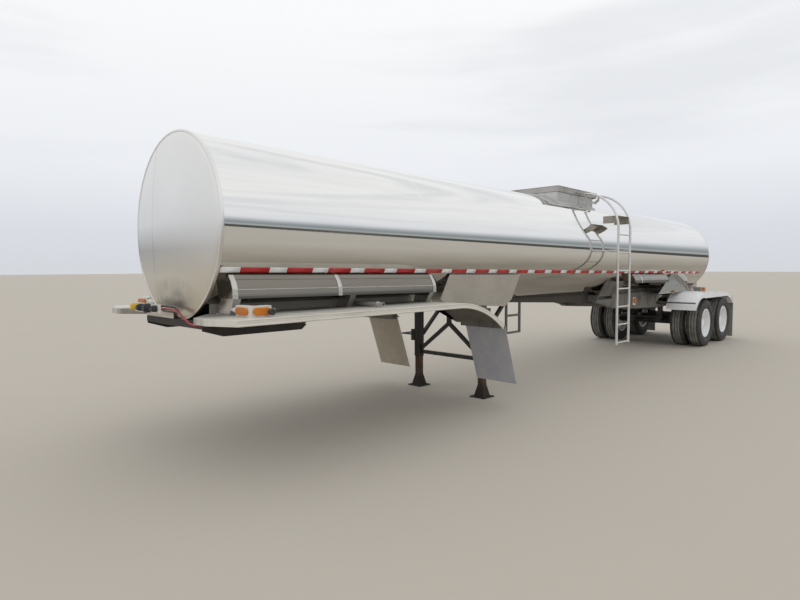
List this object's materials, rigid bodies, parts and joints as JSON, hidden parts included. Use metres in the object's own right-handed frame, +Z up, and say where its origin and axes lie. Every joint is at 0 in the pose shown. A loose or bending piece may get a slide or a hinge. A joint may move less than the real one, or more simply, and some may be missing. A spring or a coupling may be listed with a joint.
{
  "type": "tank semi-trailer",
  "caption": "Polished tank semi-trailer parked on its landing legs, with tandem axles on twin wheels, front deck fenders, a side ladder and a dome box with a hinged lid.",
  "frame": {"origin": "on the ground below the middle of the trailer, half way along its length", "axes": "+X points forward, +Y to its left side, +Z up"},
  "size_m": [13.315, 2.438, 2.9805],
  "materials": {
    "polished_steel": "mirror polished stainless steel",
    "satin_steel": "brushed stainless steel",
    "bare_steel": "worn bare steel",
    "aluminium": "satin",
    "deck_aluminium": "dull, weathered",
    "fender_aluminium": "bright satin",
    "black_steel": "black paint, worn",
    "frame_steel": "grey, dusty",
    "rusty_steel": "rusty",
    "white_paint": "white gloss paint",
    "wheel_white": "white gloss paint",
    "dark_plastic": "matte",
    "hose_rubber": "smooth hose",
    "amber_lens": "gloss",
    "red_lens": "gloss",
    "front_flap": "grey, scuffed",
    "flap_rubber": "dusty",
    "tyre": "dusty"
  },
  "bodies": {
    "trailer": {"air_brakes": "black_steel", "axles": "black_steel", "connector_bracket": "deck_aluminium", "connectors": "dark_plastic", "deck_pipes": "satin_steel", "dome_box": "satin_steel", "fender_tubes": "frame_steel", "frame_crossmembers": "frame_steel", "frame_rails": "frame_steel", "front_deck": "deck_aluminium", "front_mud_flaps": "front_flap", "front_saddles": "satin_steel", "kingpin": "bare_steel", "ladder_rails": "aluminium", "ladder_rungs": "aluminium", "ladder_step": "aluminium", "lamp_housings": "white_paint", "lamp_lenses": "amber_lens", "landing_braces": "black_steel", "landing_crank": "black_steel", "landing_feet": "rusty_steel", "landing_legs": "black_steel", "leaf_springs": "black_steel", "manway_cover": "satin_steel", "outlet_valve": "polished_steel", "rear_guard": "satin_steel", "rear_mud_flaps": "flap_rubber", "rear_saddles": "polished_steel", "service_lines": "hose_rubber", "spring_hangers": "black_steel", "step_frame": "satin_steel", "tail_lenses": "red_lens", "tandem_fenders": "fender_aluminium", "tank_barrel": "polished_steel", "tank_heads": "satin_steel", "tank_skirts": "polished_steel", "upper_coupler": "black_steel", "valve_cabinet": "satin_steel"},
    "wheels_front_left": {"rims_front_left": "wheel_white", "tyres_front_left": "tyre"},
    "wheels_front_right": {"rims_front_right": "wheel_white", "tyres_front_right": "tyre"},
    "wheels_rear_left": {"rims_rear_left": "wheel_white", "tyres_rear_left": "tyre"},
    "wheels_rear_right": {"rims_rear_right": "wheel_white", "tyres_rear_right": "tyre"},
    "lid": {"dome_lid": "satin_steel"},
    "door": {"cabinet_door": "satin_steel"}
  },
  "joints": [
    {"name": "wheels_front_left_spin", "type": "hinge", "parent": "trailer", "child": "wheels_front_left", "pos_m": [-4.5525, 0.9, 0.5], "axis": [0, 1, 0], "continuous": true},
    {"name": "wheels_front_right_spin", "type": "hinge", "parent": "trailer", "child": "wheels_front_right", "pos_m": [-4.5525, -0.9, 0.5], "axis": [0, 1, 0], "continuous": true},
    {"name": "wheels_rear_left_spin", "type": "hinge", "parent": "trailer", "child": "wheels_rear_left", "pos_m": [-5.8025, 0.9, 0.5], "axis": [0, 1, 0], "continuous": true},
    {"name": "wheels_rear_right_spin", "type": "hinge", "parent": "trailer", "child": "wheels_rear_right", "pos_m": [-5.8025, -0.9, 0.5], "axis": [0, 1, 0], "continuous": true},
    {"name": "lid_hinge", "type": "hinge", "parent": "trailer", "child": "lid", "pos_m": [-0.08624, -0.481, 2.88429], "axis": [1, 0, 0.0099], "range_deg": [0, 105]},
    {"name": "door_hinge", "type": "hinge", "parent": "trailer", "child": "door", "pos_m": [-6.4615, 0, 1.49], "axis": [0, 1, 0], "range_deg": [0, 100]}
  ]
}
